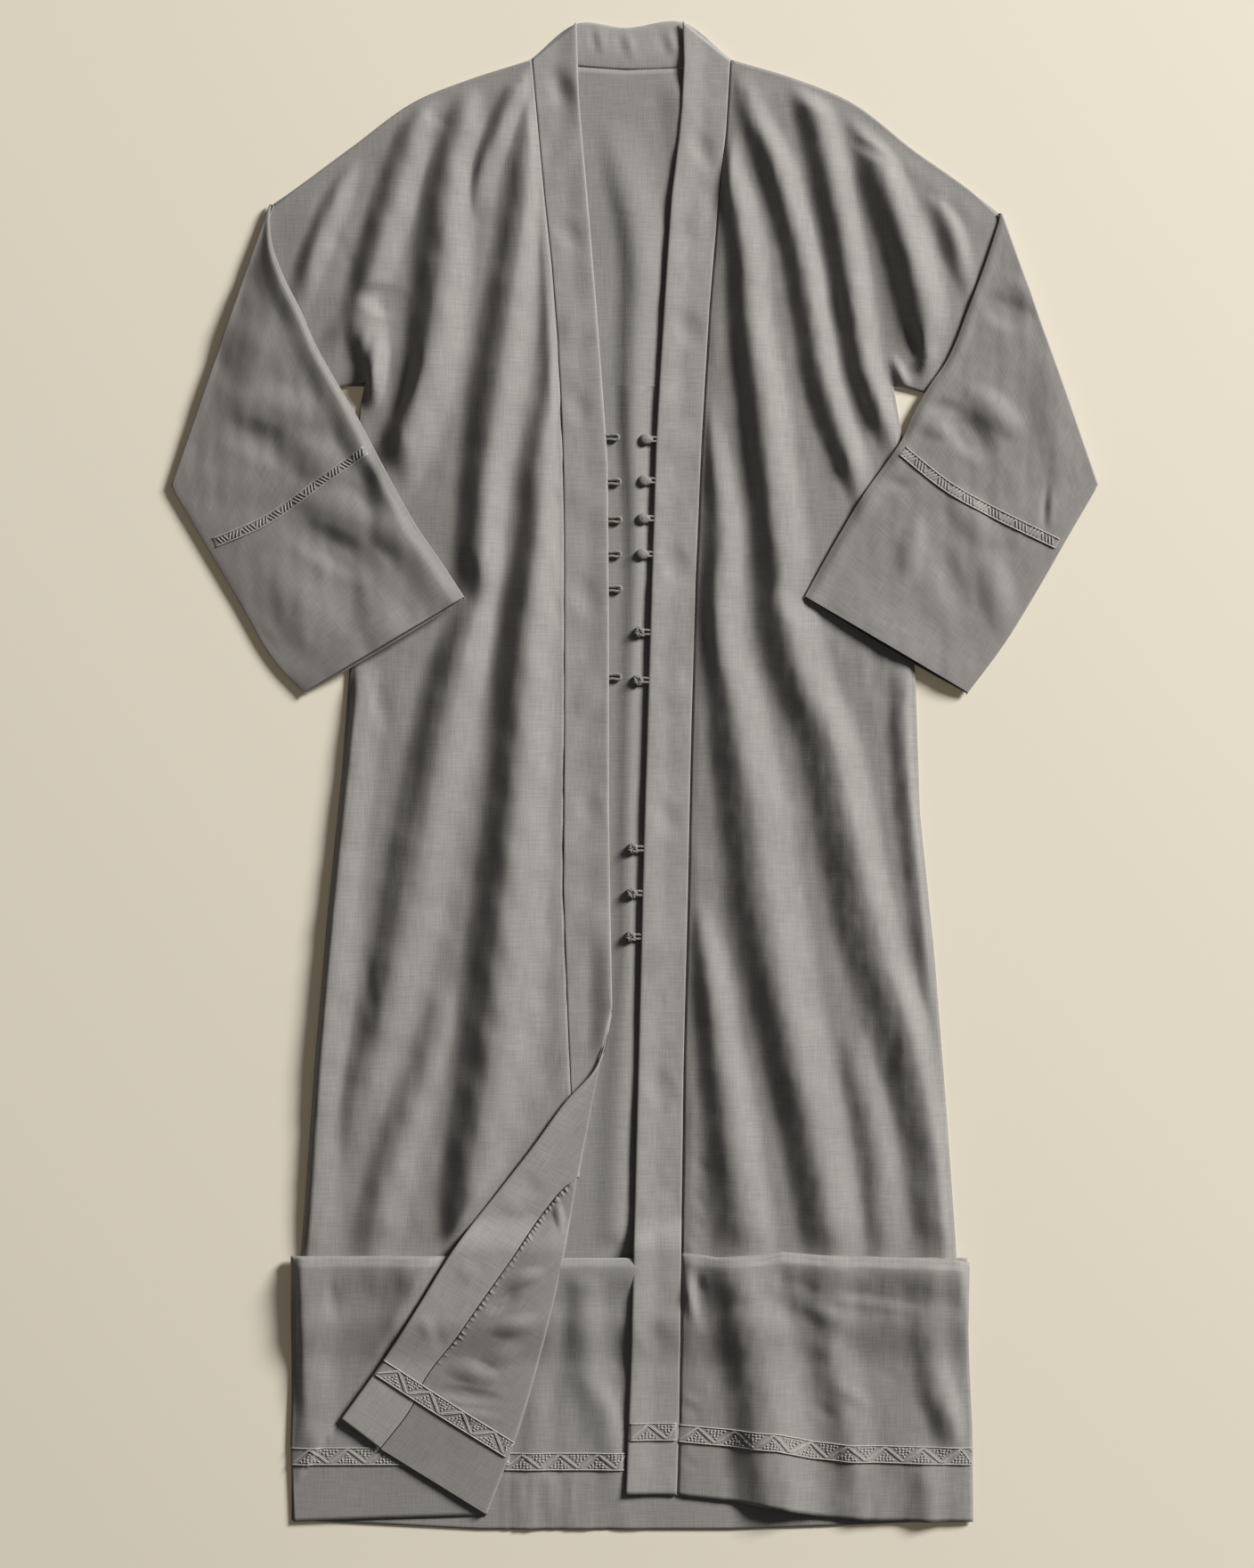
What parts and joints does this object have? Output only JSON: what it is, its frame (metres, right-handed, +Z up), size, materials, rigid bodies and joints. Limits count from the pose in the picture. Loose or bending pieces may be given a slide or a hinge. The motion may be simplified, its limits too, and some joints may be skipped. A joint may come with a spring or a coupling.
{
  "type": "abaya",
  "caption": "Open-front linen abaya laid flat, sleeves folded inwards, skirt folded across, one front corner turned back, loops and covered buttons down the bands.",
  "frame": {"origin": "middle of the garment's flat bounding box, on the surface that it lies on", "axes": "+Y from hem to neck, +X to the right as seen from above, +Z up from the surface"},
  "size_m": [0.831, 1.353, 0.018],
  "materials": {
    "linen": "plain-woven grey linen, matt",
    "linen_band": "doubled grey linen, pressed",
    "trim": "tone-on-tone embroidered tape",
    "cord": "linen-covered cord"
  },
  "bodies": {
    "root": {"back": "linen", "front_left": "linen", "front_right": "linen", "sleeve_left": "linen", "sleeve_right": "linen", "front_left_turned": "linen", "band_left": "linen_band", "band_right": "linen_band", "band_neck_back": "linen_band", "band_left_turned": "linen_band", "trim_hem_left": "trim", "trim_hem_right": "trim", "trim_hem_band": "trim", "trim_hem_back": "trim", "trim_turned": "trim", "trim_sleeve_left": "trim", "trim_sleeve_right": "trim", "button_1": "cord", "button_2": "cord", "button_3": "cord", "button_4": "cord", "button_5": "cord", "button_6": "cord", "button_7": "cord", "button_8": "cord", "button_9": "cord", "loop_1": "cord", "loop_2": "cord", "loop_3": "cord", "loop_4": "cord", "loop_5": "cord", "loop_6": "cord"}
  },
  "joints": []
}
